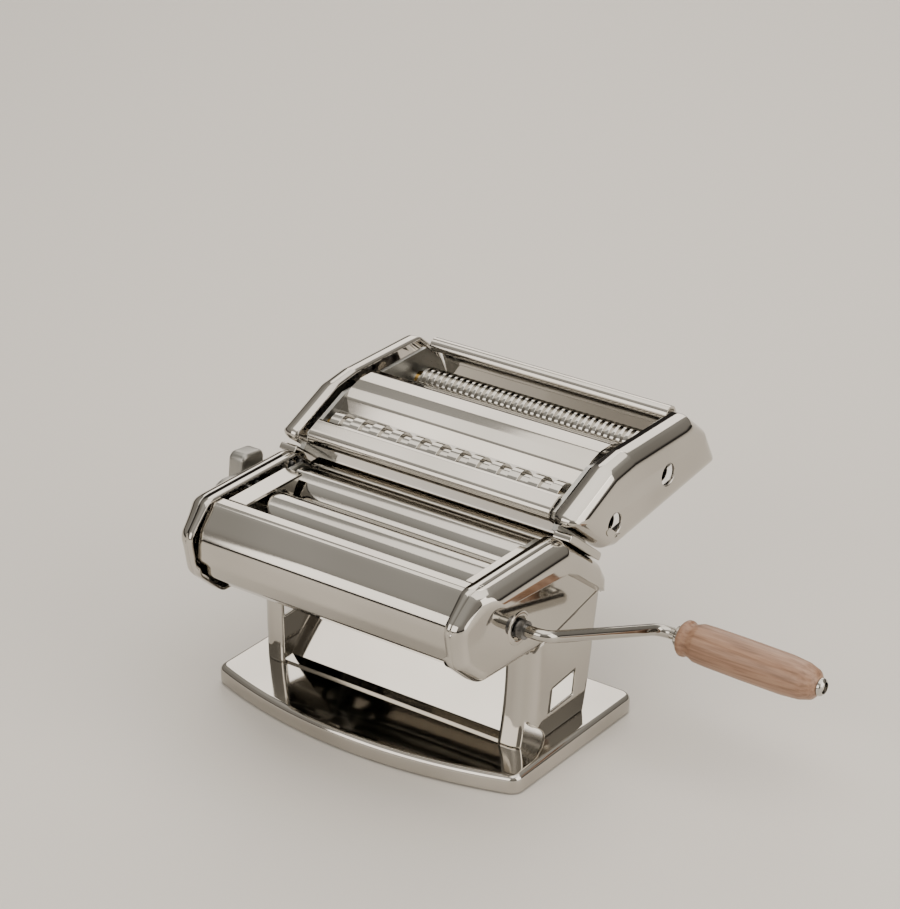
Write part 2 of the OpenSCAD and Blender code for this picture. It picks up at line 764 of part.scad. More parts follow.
base_plate();
rubber_feet();
housing_left();
housing_right();
frame_left();
frame_right();
front_apron();
rear_slide();
rear_cover();
tie_rods();
frame_screws();
housing_standoffs();
feed_guide_left();
feed_guide_right();
front_scraper();
mounting_rails();
front_roller();
front_roller_bushings();
front_transfer_gear();
drive_gear();
rear_roller();
rear_roller_bushings();
rear_transfer_gear();
yoke_left();
yoke_right();
yoke_bar();
rear_scraper();
drive_pinion();
pinion_bushing();
crank_rod();
crank_grip();
grip_ferrule();
grip_rivet();
index_plate();
regulator_bush();
regulator_shaft();
regulator_knob();
detent_pin();
knob_spring();
shaft_cap();
cutter_cover_left();
cutter_cover_right();
cutter_frame_left();
cutter_frame_right();
cutter_front_sheet();
cutter_centre_guide();
cutter_rear_rail();
cutter_tie_rods();
rail_hooks();
cutter_screws();
cutter_bushings();
cutter_combs();
wide_cutter_driven();
wide_cutter_follower();
fine_cutter_driven();
fine_cutter_follower();
wide_gears_driven();
wide_gears_follower();
fine_gears_driven();
fine_gears_follower();
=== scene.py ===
"""Looks for the hand-cranked pasta roller machine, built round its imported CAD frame.

Shapes are worked out in millimetres in the row frame (+X crank side, +Y rear, +Z up) and
are turned to metres when a mesh is made. Side-view places are (y, z).
"""
import json
import math

import bmesh
import bpy
import numpy as np
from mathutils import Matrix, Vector
from mathutils.geometry import tessellate_polygon


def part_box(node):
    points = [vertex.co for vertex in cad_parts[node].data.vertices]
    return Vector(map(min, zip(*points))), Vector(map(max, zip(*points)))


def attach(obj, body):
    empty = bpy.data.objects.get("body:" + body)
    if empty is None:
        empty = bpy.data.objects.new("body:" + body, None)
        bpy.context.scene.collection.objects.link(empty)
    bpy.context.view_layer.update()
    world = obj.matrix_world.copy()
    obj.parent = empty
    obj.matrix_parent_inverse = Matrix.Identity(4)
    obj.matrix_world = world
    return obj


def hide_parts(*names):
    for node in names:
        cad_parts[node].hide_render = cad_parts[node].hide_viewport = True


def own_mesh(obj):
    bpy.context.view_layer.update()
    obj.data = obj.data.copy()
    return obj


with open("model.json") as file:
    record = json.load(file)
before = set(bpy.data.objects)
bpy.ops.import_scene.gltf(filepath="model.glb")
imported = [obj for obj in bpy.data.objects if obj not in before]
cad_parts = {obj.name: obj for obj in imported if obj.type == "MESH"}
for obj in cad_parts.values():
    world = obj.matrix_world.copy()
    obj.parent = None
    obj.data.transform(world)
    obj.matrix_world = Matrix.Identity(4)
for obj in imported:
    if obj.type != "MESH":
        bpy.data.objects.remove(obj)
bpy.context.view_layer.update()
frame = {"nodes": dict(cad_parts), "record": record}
MM = 0.001
PER_MM = 1000  # a texture scale is this over the size of its pattern in mm

# ---- camera ------------------------------------------------------------------------

camera = bpy.data.objects.new("camera", bpy.data.cameras.new("camera"))
bpy.context.scene.collection.objects.link(camera)
camera.location = (0.848, -1.120, 0.818)
camera.rotation_euler = (math.radians(64.52), 0, math.radians(36.32))
camera.data.lens = 118.9
camera.data.sensor_width = 36
bpy.context.scene.camera = camera


# ---- materials ---------------------------------------------------------------------

def linear(hex_colour):
    """sRGB hex to linear RGBA."""
    c = np.array([int(hex_colour[i:i + 2], 16) / 255 for i in (1, 3, 5)])
    c = np.where(c <= 0.04045, c / 12.92, ((c + 0.055) / 1.055) ** 2.4)
    return (*c, 1.0)


def add(tree, kind, inputs=None, links=None, **settings):
    """Adds a node. settings are its attributes, inputs its socket values, links what feeds it."""
    node = tree.nodes.new(kind)
    for key, value in settings.items():
        setattr(node, key, value)
    for key, value in (inputs or {}).items():
        node.inputs[key].default_value = value
    for key, socket in (links or {}).items():
        tree.links.new(socket, node.inputs[key])
    return node


def new_material(name, **shader):
    """A material with one Principled shader whose constants are set on its own sockets."""
    mat = bpy.data.materials.new(name)
    mat.use_nodes = True
    tree = mat.node_tree
    bsdf = tree.nodes["Principled BSDF"]
    for key, value in shader.items():
        bsdf.inputs[key.replace("_", " ")].default_value = value
    return mat, tree, bsdf


def ramp(tree, factor, stops):
    """A colour ramp with sRGB hex stops [(place, hex), ...]."""
    node = add(tree, "ShaderNodeValToRGB", links={"Fac": factor})
    marks = node.color_ramp.elements
    while len(marks) < len(stops):
        marks.new(0.5)
    for mark, (place, colour) in zip(marks, stops):
        mark.position = place
        mark.color = linear(colour)
    return node.outputs["Color"]


def metal(name, dark, light, rough, rough_spread, grain_mm, grain_depth, wave_mm, wave_depth,
          stretch=(1, 1, 1)):
    """Metal with a faint colour change, uneven roughness, fine grain and a slow press waviness.

    grain_mm and wave_mm are the real sizes of the two patterns, stretch draws the grain out.
    """
    mat, tree, bsdf = new_material(name, Metallic=1.0)
    place = add(tree, "ShaderNodeTexCoord").outputs["Object"]
    drawn = add(tree, "ShaderNodeMapping", {"Scale": stretch}, {"Vector": place}).outputs["Vector"]
    wave = add(
        tree, "ShaderNodeTexNoise", {"Scale": PER_MM / wave_mm, "Detail": 1.0}, {"Vector": place})
    grain = add(
        tree, "ShaderNodeTexNoise", {"Scale": PER_MM / grain_mm, "Detail": 3.0}, {"Vector": drawn})
    colour = ramp(tree, wave.outputs["Fac"], [(0.3, dark), (0.7, light)])
    tree.links.new(colour, bsdf.inputs["Base Color"])
    roughness = add(
        tree, "ShaderNodeMapRange",
        {"To Min": rough - rough_spread, "To Max": rough + rough_spread},
        {"Value": grain.outputs["Fac"]})
    tree.links.new(roughness.outputs["Result"], bsdf.inputs["Roughness"])
    slow = add(
        tree, "ShaderNodeBump", {"Strength": 1.0, "Distance": wave_depth * MM},
        {"Height": wave.outputs["Fac"]})
    fine = add(
        tree, "ShaderNodeBump", {"Strength": 1.0, "Distance": grain_depth * MM},
        {"Height": grain.outputs["Fac"], "Normal": slow.outputs["Normal"]})
    tree.links.new(fine.outputs["Normal"], bsdf.inputs["Normal"])
    return mat


# Bright chromium plate on pressed steel: sharp reflections, bent slightly by the pressing
chromed_sheet = metal(
    "bright chrome plated pressed steel", "#b7b3ac", "#c6c2bb", rough=0.07, rough_spread=0.02,
    grain_mm=0.8, grain_depth=0.0006, wave_mm=60, wave_depth=0.10)
# The same plate on a turned and ground bar: fine rings, so the grain is short along X
chromed_bar = metal(
    "bright chrome plated turned steel", "#b3b0aa", "#c2bfb9", rough=0.09, rough_spread=0.03,
    grain_mm=0.5, grain_depth=0.001, wave_mm=80, wave_depth=0.03, stretch=(6, 1, 1))
# Die-cast zinc with a satin plate: soft even highlights
satin_zinc = metal(
    "satin plated die-cast zinc", "#8f8e8a", "#a8a7a2", rough=0.36, rough_spread=0.06,
    grain_mm=0.5, grain_depth=0.004, wave_mm=30, wave_depth=0.05)
# Cold-rolled steel sheet with a thin zinc plate
zinc_plate = metal(
    "zinc plated cold-rolled steel", "#9b9b98", "#b5b5b1", rough=0.30, rough_spread=0.08,
    grain_mm=0.7, grain_depth=0.003, wave_mm=25, wave_depth=0.04)
# Cut steel with a film of oil: darker, with streaks
gear_steel = metal(
    "oiled cut steel", "#6a6a6b", "#828283", rough=0.30, rough_spread=0.08,
    grain_mm=0.6, grain_depth=0.004, wave_mm=12, wave_depth=0.02)
# Bushing brass, turned
turned_brass = metal(
    "turned brass", "#a8873f", "#c4a25a", rough=0.24, rough_spread=0.06,
    grain_mm=0.4, grain_depth=0.003, wave_mm=10, wave_depth=0.01, stretch=(5, 1, 1))


def beech_wood():
    """Lacquered beech: long fibres along the grip, short dark rays, slow change of colour."""
    fibre_mm, ray_mm, slow_mm = 1.6, 1.3, 22
    mat, tree, bsdf = new_material(
        "lacquered turned beech", Roughness=0.42, Coat_Weight=0.12, Coat_Roughness=0.25)
    place = add(tree, "ShaderNodeTexCoord").outputs["Object"]
    along = add(
        tree, "ShaderNodeMapping", {"Scale": (0.07, 1, 1)}, {"Vector": place}).outputs["Vector"]
    fibre = add(
        tree, "ShaderNodeTexNoise", {"Scale": PER_MM / fibre_mm, "Detail": 4.0}, {"Vector": along})
    flecks = add(
        tree, "ShaderNodeMapping", {"Scale": (0.3, 1, 1)}, {"Vector": place}).outputs["Vector"]
    rays = add(tree, "ShaderNodeTexVoronoi", {"Scale": PER_MM / ray_mm}, {"Vector": flecks})
    slow = add(
        tree, "ShaderNodeTexNoise", {"Scale": PER_MM / slow_mm, "Detail": 1.0}, {"Vector": along})
    wood = ramp(
        tree, fibre.outputs["Fac"], [(0.28, "#7d5f4b"), (0.5, "#977660"), (0.75, "#ab8b74")])
    ray_mask = add(
        tree, "ShaderNodeMapRange",
        {"From Min": 0.0, "From Max": 0.16, "To Min": 0.35, "To Max": 0.0},
        {"Value": rays.outputs["Distance"]})
    # Sockets of a colour mix: 0 is the factor, 6 and 7 are the two colours, output 2 is the result
    with_rays = add(
        tree, "ShaderNodeMix", {7: linear("#664b3b")}, {0: ray_mask.outputs["Result"], 6: wood},
        data_type="RGBA")
    slow_tone = ramp(tree, slow.outputs["Fac"], [(0.3, "#d8c4b0"), (0.7, "#ffffff")])
    toned = add(
        tree, "ShaderNodeMix", {0: 0.5}, {6: with_rays.outputs[2], 7: slow_tone},
        data_type="RGBA", blend_type="MULTIPLY")
    tree.links.new(toned.outputs[2], bsdf.inputs["Base Color"])
    bump = add(
        tree, "ShaderNodeBump", {"Strength": 0.5, "Distance": 0.06 * MM},
        {"Height": fibre.outputs["Fac"]})
    tree.links.new(bump.outputs["Normal"], bsdf.inputs["Normal"])
    return mat


def black_rubber():
    """Moulded rubber: dull, with a slightly grainy skin."""
    grit_mm = 0.6
    mat, tree, bsdf = new_material("moulded black rubber", Roughness=0.75)
    place = add(tree, "ShaderNodeTexCoord").outputs["Object"]
    grit = add(
        tree, "ShaderNodeTexNoise", {"Scale": PER_MM / grit_mm, "Detail": 2.0}, {"Vector": place})
    colour = ramp(tree, grit.outputs["Fac"], [(0.3, "#171717"), (0.7, "#242424")])
    tree.links.new(colour, bsdf.inputs["Base Color"])
    bump = add(
        tree, "ShaderNodeBump", {"Strength": 0.6, "Distance": 0.05 * MM},
        {"Height": grit.outputs["Fac"]})
    tree.links.new(bump.outputs["Normal"], bsdf.inputs["Normal"])
    return mat


beech = beech_wood()
rubber = black_rubber()

slot_material = {
    "chromed_sheet": chromed_sheet, "chromed_steel": chromed_bar, "satin_metal": zinc_plate,
    "gear_steel": gear_steel, "brass": turned_brass, "beech": beech, "rubber": rubber,
}

# ---- making pieces -----------------------------------------------------------------

STRAIGHT = 89.5  # half angle in degrees from which a corner counts as straight


def piece(name, parts, body, slot, nodes=(), mirror=False, wall=0, bevel=0, sharp=32,
          material=None):
    """Joins grids and faces into one closed or sheet mesh, in metres, with its normals outwards.

    parts is a list of (points, faces). Doubles are merged first, then normals are set, and
    after that a wall of `wall` mm grows inwards and edges get a `bevel` mm round.
    """
    points, faces, start = [], [], 0
    for p, f in parts:
        points.append(np.asarray(p, float))
        faces += [tuple(int(i) + start for i in face) for face in f]
        start += len(p)
    points = np.vstack(points) * MM
    if mirror:
        points[:, 0] *= -1
    mesh = bpy.data.meshes.new(name)
    mesh.from_pydata(points.tolist(), [], faces)
    work = bmesh.new()
    work.from_mesh(mesh)
    bmesh.ops.remove_doubles(work, verts=work.verts, dist=2e-6)
    bmesh.ops.dissolve_degenerate(work, edges=work.edges, dist=1e-7)
    bmesh.ops.recalc_face_normals(work, faces=work.faces)
    work.to_mesh(mesh)
    work.free()
    mesh.shade_smooth()
    mesh.set_sharp_from_angle(angle=math.radians(sharp))
    obj = bpy.data.objects.new(name, mesh)
    bpy.context.scene.collection.objects.link(obj)
    mesh.materials.append(material or slot_material[slot])
    if wall:
        solid = obj.modifiers.new("wall", "SOLIDIFY")
        solid.thickness = wall * MM
        solid.offset = -1
        solid.use_even_offset = False
    if bevel:
        soft = obj.modifiers.new("soft edges", "BEVEL")
        soft.width = bevel * MM
        soft.segments = 2
        soft.limit_method = "ANGLE"
        soft.angle_limit = math.radians(sharp)
        soft.harden_normals = False
    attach(obj, body)
    if nodes:
        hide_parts(*nodes)
    return obj


def grid(points, close_u=False, close_v=False, keep=None):
    """Quads over an (n, m, 3) array of points. keep is an optional mask of the quads that stay."""
    n, m = points.shape[:2]
    iu = np.arange(n if close_u else n - 1)
    iv = np.arange(m if close_v else m - 1)
    a, b = np.meshgrid(iu, iv, indexing="ij")
    if keep is not None:
        a, b = a[keep], b[keep]
    a, b = a.ravel(), b.ravel()
    c, d = (a + 1) % n, (b + 1) % m
    quads = np.stack([a * m + b, c * m + b, c * m + d, a * m + d], axis=1)
    return points.reshape(-1, 3), quads.tolist()


def lid(loop):
    """One flat face over a closed loop of points."""
    return np.asarray(loop), [tuple(range(len(loop)))]


def pierced_lid(loops):
    """One face seen from the side: the first loop is its edge, the others are its holes."""
    side_view = [[(y, z, 0) for _, y, z in loop] for loop in loops]
    return np.vstack(loops), [tuple(face) for face in tessellate_polygon(side_view)]


def corner_edges(before, place, after):
    """Directions from a corner along its two edges, and half of the angle between them."""
    u, v = before - place, after - place
    u, v = u / np.linalg.norm(u), v / np.linalg.norm(v)
    return u, v, math.acos(np.clip(u @ v, -1, 1)) / 2


def corner_arc(before, place, after, radius):
    """The arc that rounds a corner: centre, radii to its ends, the way inwards, the half angle.

    It touches both edges at radius / tan(half angle) from the corner.
    """
    u, v, half = corner_edges(before, place, after)
    inward = (u + v) / np.linalg.norm(u + v)
    centre = place + inward * radius / math.sin(half)
    reach = radius / math.tan(half)
    return centre, place + u * reach - centre, place + v * reach - centre, inward, half


def sweep(start, end, steps):
    """Angles from one 2-D direction to another, the short way round."""
    first = math.atan2(start[1], start[0])
    turn = (math.atan2(end[1], end[0]) - first + math.pi) % (2 * math.pi) - math.pi
    return first + turn * np.linspace(0, 1, steps + 1)


def round_path(places, radius, closed=True, step=None, arc_steps=8):
    """A side-view path whose corners are arcs. radius is one value or one for each place.

    A corner that is almost straight stays a point. With step, the straight stretches are cut
    into pieces no longer than that.
    """
    p = np.asarray(places, float)
    n = len(p)
    r = np.broadcast_to(np.asarray(radius, float), (n,))
    out = []
    for i in range(n):
        corner = p[i - 1], p[i], p[(i + 1) % n]
        sharp = (not closed and i in (0, n - 1)) or r[i] <= 0
        if sharp or corner_edges(*corner)[2] > math.radians(STRAIGHT):
            out.append(p[i][None])
            continue
        centre, a, b, _, _ = corner_arc(*corner, r[i])
        t = sweep(a, b, arc_steps)
        out.append(centre + r[i] * np.stack([np.cos(t), np.sin(t)], 1))
    path = np.vstack(out)
    if step:
        ends = np.roll(path, -1, axis=0) if closed else path[1:]
        starts = path if closed else path[:-1]
        cut = [
            a + (b - a) * np.arange(k)[:, None] / k
            for a, b in zip(starts, ends)
            for k in [max(1, int(math.ceil(np.linalg.norm(b - a) / step)))]
        ]
        path = np.vstack(cut if closed else cut + [path[-1:]])
    return path


def arc(centre, r, start, end, steps=12):
    """Places on a circle from one angle in degrees to another."""
    t = np.radians(np.linspace(start, end, steps + 1))
    return (np.array(centre) + r * np.stack([np.cos(t), np.sin(t)], 1)).tolist()


def band(path, thickness):
    """Closed side-view outline of a sheet: the path, and the path moved left by the thickness."""
    d = np.diff(path, axis=0)
    d /= np.linalg.norm(d, axis=1)[:, None]
    left = np.stack([-d[:, 1], d[:, 0]], 1)
    a, b = np.vstack([left[:1], left]), np.vstack([left, left[-1:]])
    away = (a + b) / (1 + (a * b).sum(1))[:, None]
    return np.vstack([path, (path + away * thickness)[::-1]])


def at_x(outline, x):
    """A side-view outline placed at x."""
    return np.column_stack([np.full(len(outline), x), outline])


def along_x(outline, x0, x1):
    """A side-view outline carried along X from x0 to x1, with flat ends."""
    pts = np.stack([at_x(outline, x0), at_x(outline, x1)])
    return [grid(pts, close_v=True), lid(pts[0]), lid(pts[-1])]


def turned_solid(profile, centre, axis=(1, 0, 0), steps=96):
    """A profile of (radius, distance along the axis) turned about a line through centre."""
    axis = np.asarray(axis, float) / np.linalg.norm(axis)
    side = np.cross(axis, (0, 1, 0))
    side /= np.linalg.norm(side)
    up = np.cross(axis, side)
    t = np.linspace(0, 2 * math.pi, steps, endpoint=False)
    ring = np.cos(t)[:, None] * side + np.sin(t)[:, None] * up
    p = np.asarray(profile, float)
    radius, along = p[:, 0][:, None, None], p[:, 1][:, None, None]
    pts = np.asarray(centre, float) + along * axis + radius * ring[None]
    return [grid(pts, close_v=True)]


def soft_profile(corners, radius, arc_steps=4):
    """A turning profile whose inner corners are rounded by the radius."""
    return round_path(corners, radius, closed=False, arc_steps=arc_steps)


def nearest(points, path, closed=True):
    """Distance from each point to a polyline."""
    a = path if closed else path[:-1]
    b = np.roll(path, -1, axis=0) if closed else path[1:]
    ab = b - a
    t = np.clip(((points[:, None] - a) * ab).sum(2) / (ab ** 2).sum(1), 0, 1)
    return np.linalg.norm(points[:, None] - (a + t[..., None] * ab), axis=2).min(1)


def smooth(t):
    """0 below 0, 1 above 1, with a soft S between."""
    t = np.clip(t, 0, 1)
    return t * t * (3 - 2 * t)


SHEET = 1.2  # thickness of the pressed sheets
BASE_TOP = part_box("base_plate")[1][2] / MM

# ---- base --------------------------------------------------------------------------


def base_outline(inset):
    """Plan of the base: straight sides, 7 mm corners and a front arc of 291 mm radius."""
    bow, bow_y, half_w, rear_y, corner = 291, 229, 100, 65, 7
    x = half_w - corner
    front_y = bow_y - math.sqrt((bow - corner) ** 2 - x ** 2)
    r = corner - inset
    edge = math.degrees(math.asin(x / (bow - corner)))
    front = arc((0, bow_y), bow - inset, 270 - edge, 270 + edge, 40)
    return np.array(
        front + arc((x, front_y), r, 270 + edge, 360, 8)[1:]
        + arc((x, rear_y - corner), r, 0, 90, 8) + arc((-x, rear_y - corner), r, 90, 180, 8)
        + arc((-x, front_y), r, 180, 270 - edge, 8)[:-1])


def base_tray():
    """Outline rings: a plain wall, then a quarter round of 3.5 mm up to the flat top."""
    t = np.linspace(0, math.pi / 2, 9)
    r = 3.5
    # The wall's lower edge stands 1 mm off the ground and is slightly broken outside
    foot_insets, foot_heights = [SHEET, 0.3, 0], [1.0, 1.0, 1.8]
    insets = np.concatenate([foot_insets, r * (1 - np.cos(t))])
    heights = np.concatenate([foot_heights, BASE_TOP - r + r * np.sin(t)])
    plans = [base_outline(inset) for inset in insets]
    rings = np.stack([
        np.column_stack([plan, np.full(len(plan), z)]) for plan, z in zip(plans, heights)])
    under = rings[0].copy()
    under[:, 2] = BASE_TOP - SHEET
    return [grid(np.concatenate([under[None], rings]), close_v=True), lid(rings[-1]), lid(under)]


piece("base_tray", base_tray(), "machine", "chromed_sheet", ["base_plate"])

# ---- side shells -------------------------------------------------------------------

HEAD = [[-67, 124], [-83, 108.5], [-79, 86], [-61.5, 70], [-14, 68], [43, 80], [43, 90],
        [38, 98.5], [6, 124]]
HEAD_R = [9, 9, 9, 9, 4, 1, 5, 8, 7]
PANEL_X, HOOD_X, RIM_X = 91.2, 97.5, 81.5  # flat panel, raised hood, inner edge of the rim wall
head_path = round_path(HEAD, HEAD_R, step=1.5)


def leg_top(y):
    """Height of the head's lower edge, which slopes up along the leg."""
    return 68 + (y + 14) * 12 / 57


def on_leg(path):
    """True at the places of the head's outline that go on into the leg."""
    return (path[:, 1] < leg_top(path[:, 0]) + 0.4) & (path[:, 0] > -11) & (path[:, 0] < 42.9)


# The head's outline without its stretch over the leg, as one open path
free_start = int(np.argmax(on_leg(head_path) & ~np.roll(on_leg(head_path), 1)))
free_edge = np.roll(head_path, -free_start, axis=0)[int(on_leg(head_path).sum()):]


def step_height(y):
    """Height of the hood's lower edge at y."""
    return np.interp(y, [-90, -51, 3, 11, 46], [113.5, 111, 107, 103, 76])


def shell_x(yz):
    """Outer face of the side shell at side-view places.

    The hood stands 6.3 mm proud above its lower edge. The step is 1.5 mm wide behind the crank
    and spreads to a soft shoulder over the nose. A quarter round then falls to the rim.
    """
    y, z = yz[:, 0], yz[:, 1]
    width = 1.5 + 30 * smooth((-50 - y) / 16)
    lean = np.where(y > 11, 0.79, 1.0)
    rise = smooth(((z - step_height(y)) * lean + width * 0.5) / width)
    fade = 1 - 0.45 * smooth((-58 - y) / 18)
    top = PANEL_X + (HOOD_X - PANEL_X) * rise * fade
    r = 6.5 + 3.0 * rise * fade
    inside = np.clip(nearest(yz, free_edge, closed=False), 0, r)
    return top - r + np.sqrt(r * r - (r - inside) ** 2)


def span(path, y):
    """Lowest and highest z of a closed outline at each y."""
    a, b = path, np.roll(path, -1, axis=0)
    lo, hi = np.full(len(y), 1e9), np.full(len(y), -1e9)
    for i, yy in enumerate(y):
        hit = (np.minimum(a[:, 0], b[:, 0]) <= yy) & (np.maximum(a[:, 0], b[:, 0]) >= yy)
        p, q = a[hit], b[hit]
        run = q[:, 0] - p[:, 0]
        upright = np.abs(run) < 1e-9
        t = np.where(upright, 0, (yy - p[:, 0]) / np.where(run == 0, 1, run))
        zz = np.concatenate([p[:, 1] + t * (q[:, 1] - p[:, 1]), q[upright, 1]])
        lo[i], hi[i] = zz.min(), zz.max()
    return lo, hi


def side_shell(hole, hole_r):
    """Columns of constant y with rows that follow the hood's lower edge, then the rim wall.

    The columns are closer at both ends, and the rows at the head's edge and on the hood's step.
    """
    y_min, y_max = head_path[:, 0].min(), head_path[:, 0].max()
    u = np.linspace(0, 1, 230)
    crowded = 0.6 * (0.5 - 0.5 * np.cos(np.pi * u)) + 0.4 * u
    y = np.clip(y_min + (y_max - y_min) * crowded, y_min + 1e-4, y_max - 1e-4)
    lo, hi = span(head_path, y)
    mid_z = np.clip(step_height(y), lo + 0.2 * (hi - lo), hi - 0.12 * (hi - lo))
    half = np.minimum(2.0, 0.1 * (hi - lo))
    s = 0.5 - 0.5 * np.cos(np.pi * np.linspace(0, 1, 45))
    low = lo[:, None] + (mid_z - half - lo)[:, None] * s
    mids = (mid_z - half)[:, None] + 2 * half[:, None] * np.linspace(0, 1, 15)[1:]
    high = (mid_z + half)[:, None] + (hi - mid_z - half)[:, None] * s[1:]
    z = np.concatenate([low, mids, high], axis=1)
    yz = np.stack([np.broadcast_to(y[:, None], z.shape), z], axis=2)
    x = shell_x(yz.reshape(-1, 2)).reshape(z.shape)
    pts = np.concatenate([x[..., None], yz], axis=2)
    centre = (yz[:-1, :-1] + yz[1:, 1:]) / 2
    keep = np.hypot(centre[..., 0] - hole[0], centre[..., 1] - hole[1]) > hole_r
    top = shell_x(head_path)
    low_front = smooth((92 - head_path[:, 1]) / 2) * smooth((-40 - head_path[:, 0]) / 4)
    rim = RIM_X - 2.5 * low_front
    wall_pts = np.stack([
        np.column_stack([rim + (top - rim) * t, head_path]) for t in (0, 0.5, 1)])
    wall_keep = np.broadcast_to(~on_leg(head_path), (2, len(head_path)))
    return [grid(pts, keep=keep), grid(wall_pts, close_v=True, keep=wall_keep)]


def side_leg(slot_y=(1.302, 22.8), slot_z=(24, 36.5)):
    """The leg below the head: a panel, a quarter bend of 11 mm and a narrow front flange.

    Columns run from the flange to the rear edge, rows go up. The notch at the foot of the bend
    narrows to nothing at z = 27, and the whole leg splays 3 mm and leans 3 mm at its foot. Its
    top laps the head's lower edge and stands a hair outside it.
    """
    r, flange, bend_y, splay = 11.0, 5.7, -8, 3.0
    top_z, notch_z, lap, proud = 67.5, 27.0, 2.5, 0.02
    rows = np.unique(np.concatenate([
        np.linspace(BASE_TOP, slot_z[0], 11), np.linspace(slot_z[0], notch_z, 4),
        np.linspace(notch_z, slot_z[1], 6), np.linspace(slot_z[1], top_z, 20)]).round(6))

    # s is the distance along the sheet from the flange's free edge
    bend = r * math.pi / 2
    bend_end = flange + bend
    slot_start, slot_end = (bend_end - bend_y + y for y in slot_y)
    rear = np.interp(rows, [11, 50, 80], [34.5, 37, 43])[:, None] + bend_end - bend_y
    notch = smooth((notch_z - rows) / (notch_z - BASE_TOP))[:, None] ** 0.8
    notch_end = flange + bend * 0.45 + 0.01 + notch * (bend * 0.55 + 7.5)
    n_flange, n_bend, n_foot, n_slot, n_rear = 4, 8, 8, 9, 11
    front = np.broadcast_to(np.concatenate([
        np.linspace(0, flange, n_flange),
        flange + bend * 0.45 * np.linspace(0, 1, n_bend + 1)[1:]]), (len(rows), n_flange + n_bend))
    foot_end = np.maximum(slot_start, notch_end)
    foot = notch_end + (foot_end - notch_end) * np.linspace(0, 1, n_foot)
    at_slot = foot_end + (slot_end - foot_end) * np.linspace(0, 1, n_slot + 1)[1:]
    behind = slot_end + (rear - slot_end) * np.linspace(0, 1, n_rear + 1)[1:]
    s = np.concatenate([front, foot, at_slot, behind], axis=1)

    a = np.clip((s - flange) / r, 0, math.pi / 2)
    x = np.where(s < flange, PANEL_X - r - flange + s, PANEL_X - r + r * np.sin(a))
    y = np.where(s < bend_end, bend_y - r * np.cos(a), bend_y + s - bend_end)
    z = np.broadcast_to(rows[:, None], s.shape)
    share = (z - BASE_TOP) / (top_z - BASE_TOP)
    rise = np.where(y > -13, (leg_top(y) + lap - top_z) * share, 0)
    z = z + np.maximum(rise, 0)
    x = x + proud - splay * (1 - share) ** 2
    y = y - splay * (1 - share) ** 2

    keep = np.ones((len(rows) - 1, s.shape[1] - 1), bool)
    notch_column = n_flange + n_bend - 1
    keep[rows[:-1] < notch_z - 1e-6, notch_column] = False
    at_slot_z = (rows[:-1] >= slot_z[0] - 1e-6) & (rows[:-1] < slot_z[1] - 1e-6)
    slot_columns = notch_column + n_foot + np.arange(n_slot)
    keep[np.ix_(at_slot_z, slot_columns)] = False
    return [grid(np.stack([x, y, z], axis=2), keep=keep)]


def hole_lip(centre, inner, outer, x):
    """A rolled ring round a hole: an oval section 1.5 mm thick."""
    t = np.linspace(0, 2 * math.pi, 13)[:-1]
    r = (inner + outer) / 2 + (outer - inner) / 2 * np.cos(t)
    section = np.column_stack([r, 0.75 * np.sin(t)])
    return turned_solid(np.vstack([section, section[:1]]), (x, *centre))


CRANK, KNOB = (-32.2, 90.2), (-4, 99)
HOLE_R, LIP_IN, LIP_OUT, LIP_SUNK = 7.4, 6.3, 9.3, 0.1
for side, hole in (("right", CRANK), ("left", KNOB)):
    flip = side == "left"
    piece(f"{side}_side_shell", side_shell(hole, HOLE_R), "machine", "chromed_sheet",
          [f"housing_{side}"], mirror=flip, wall=SHEET, sharp=50)
    piece(f"{side}_leg", side_leg(), "machine", "chromed_sheet", mirror=flip, wall=SHEET, sharp=50)
    lip_x = shell_x(np.array([hole], float))[0] - LIP_SUNK
    piece(f"{side}_hole_lip", hole_lip(hole, LIP_IN, LIP_OUT, lip_x), "machine", "chromed_sheet",
          mirror=flip)

# ---- sheets across the head --------------------------------------------------------

APRON_HALF, SLIDE_HALF = 82.6, 73  # half widths
FRAME_IN, FRAME_OUT = 75.6, 78.5  # the inner side plates stand between these

apron_path = round_path(
    [[-57.5, 122.6], [-64, 122.4], [-78.4, 108], [-77.6, 94], [-73, 84], [-63, 75.5], [-55, 73]],
    [0, 6, 14, 10, 10, 5, 0], closed=False, step=2)
piece("front_apron_sheet", along_x(band(apron_path, SHEET), -APRON_HALF, APRON_HALF),
      "machine", "chromed_sheet", ["front_apron"])
slide_path = round_path(
    [[-20, 11], [-12, 11], [16, 60], [29, 74.5], [32.5, 90]], [0, 1.5, 12, 8, 0],
    closed=False, step=3)
piece("rear_slide_sheet", along_x(band(slide_path, SHEET), -SLIDE_HALF, SLIDE_HALF),
      "machine", "chromed_sheet", ["rear_slide"])

# Between the side plates the cover reaches down behind the roller; over them it is cut short
cover_top = [[21.5, 117.2], [12.8, 117.2], [12.6, 114]]
full_path = round_path(
    [[32.6, 91.5], [33, 96.8]] + cover_top, [0, 3, 3, 1.5, 0], closed=False, step=2)
short_path = round_path([[29.96, 102.2]] + cover_top[:2], [0, 3, 0], closed=False, step=2)
short_band = band(short_path, SHEET)
piece("rear_cover_sheet",
      along_x(band(full_path, SHEET), -FRAME_IN, FRAME_IN)
      + along_x(short_band, FRAME_IN, FRAME_OUT) + along_x(short_band, -FRAME_OUT, -FRAME_IN),
      "machine", "chromed_sheet", ["rear_cover"])


